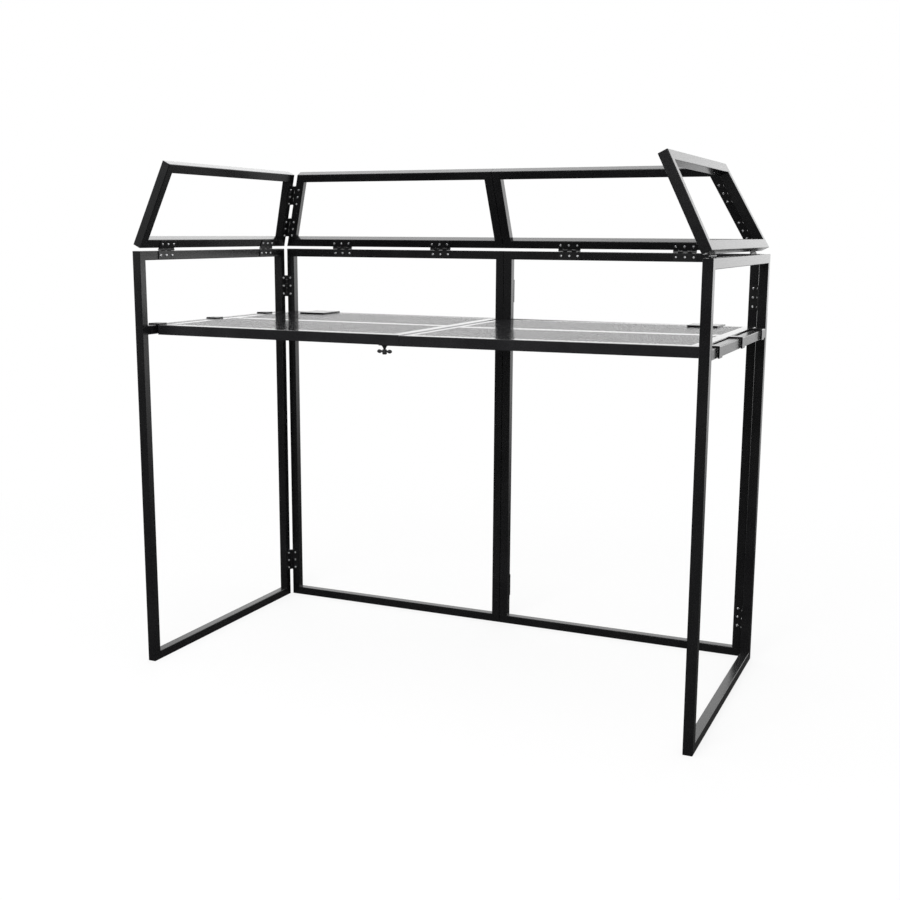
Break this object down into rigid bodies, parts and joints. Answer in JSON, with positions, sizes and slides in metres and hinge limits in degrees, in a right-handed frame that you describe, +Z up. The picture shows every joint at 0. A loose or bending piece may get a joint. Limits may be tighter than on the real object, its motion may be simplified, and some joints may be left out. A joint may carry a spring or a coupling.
{
  "type": "dj booth",
  "caption": "Open folding DJ booth of black square steel tube: hinged front and side frames, wings leaning inwards above them, and a perforated table hooked over the crossbars.",
  "frame": {"origin": "on the floor, under the middle of the booth's bounding box", "axes": "+Z up, +Y from the performer's side towards the audience, +X to the performer's right"},
  "size_m": [1.592, 0.7794, 1.403],
  "materials": {
    "tube": "black powder coat, fine texture",
    "tray": "black powder coat on perforated sheet",
    "strap": "black powder coat",
    "hinge": "black painted hinge leaves, satin",
    "zinc": "bright zinc plate",
    "sleeve": "black, satin",
    "handle": "moulded, fine grain"
  },
  "bodies": {
    "frame": {"corner_hinge_front_leaves": "hinge", "corner_hinge_side_leaves": "hinge", "front_left_bottom_rail": "tube", "front_left_corner_post": "tube", "front_left_crossbar": "tube", "front_left_seam_post": "tube", "front_left_top_rail": "tube", "front_left_wing_bottom_rail": "tube", "front_left_wing_end_post": "tube", "front_left_wing_hip_post": "tube", "front_left_wing_top_rail": "tube", "front_right_bottom_rail": "tube", "front_right_corner_post": "tube", "front_right_crossbar": "tube", "front_right_seam_post": "tube", "front_right_top_rail": "tube", "front_right_wing_bottom_rail": "tube", "front_right_wing_end_post": "tube", "front_right_wing_hip_post": "tube", "front_right_wing_top_rail": "tube", "hinge_pins": "zinc", "hinge_screws": "zinc", "hip_hinge_front_leaves": "hinge", "hip_hinge_side_leaves": "hinge", "left_side_bottom_rail": "tube", "left_side_crossbar": "tube", "left_side_far_post": "tube", "left_side_near_post": "tube", "left_side_top_rail": "tube", "left_wing_bottom_rail": "tube", "left_wing_end_post": "tube", "left_wing_hip_post": "tube", "left_wing_top_rail": "tube", "right_side_bottom_rail": "tube", "right_side_crossbar": "tube", "right_side_far_post": "tube", "right_side_near_post": "tube", "right_side_top_rail": "tube", "right_wing_bottom_rail": "tube", "right_wing_end_post": "tube", "right_wing_hip_post": "tube", "right_wing_top_rail": "tube", "seam_hinge_left_leaves": "hinge", "seam_hinge_right_leaves": "hinge", "wing_hinge_lower_leaves": "hinge", "wing_hinge_upper_leaves": "hinge"},
    "table": {"left_tray": "tray", "right_tray": "tray", "left_hook_straps": "strap", "right_hook_straps": "strap", "clamp_nut": "zinc"},
    "clamp_sleeve": {"clamp_sleeve": "sleeve"},
    "clamp_screw": {"clamp_screw": "sleeve", "clamp_handle": "handle"}
  },
  "joints": [
    {"name": "table_lift", "type": "slide", "parent": "frame", "child": "table", "axis": [0, 0, 1], "range_m": [0, 0.15]},
    {"name": "clamp_travel", "type": "slide", "parent": "table", "child": "clamp_sleeve", "axis": [0, 0, -1], "range_m": [0, 0.002]},
    {"name": "clamp_turn", "type": "hinge", "parent": "clamp_sleeve", "child": "clamp_screw", "pos_m": [-0.0615, -0.3127, 0.92], "axis": [0, 0, -1], "range_deg": [0, 720]}
  ],
  "couplings": [
    {"joint": "clamp_turn", "follows": "clamp_travel", "rad_per_m": 6283.2}
  ]
}
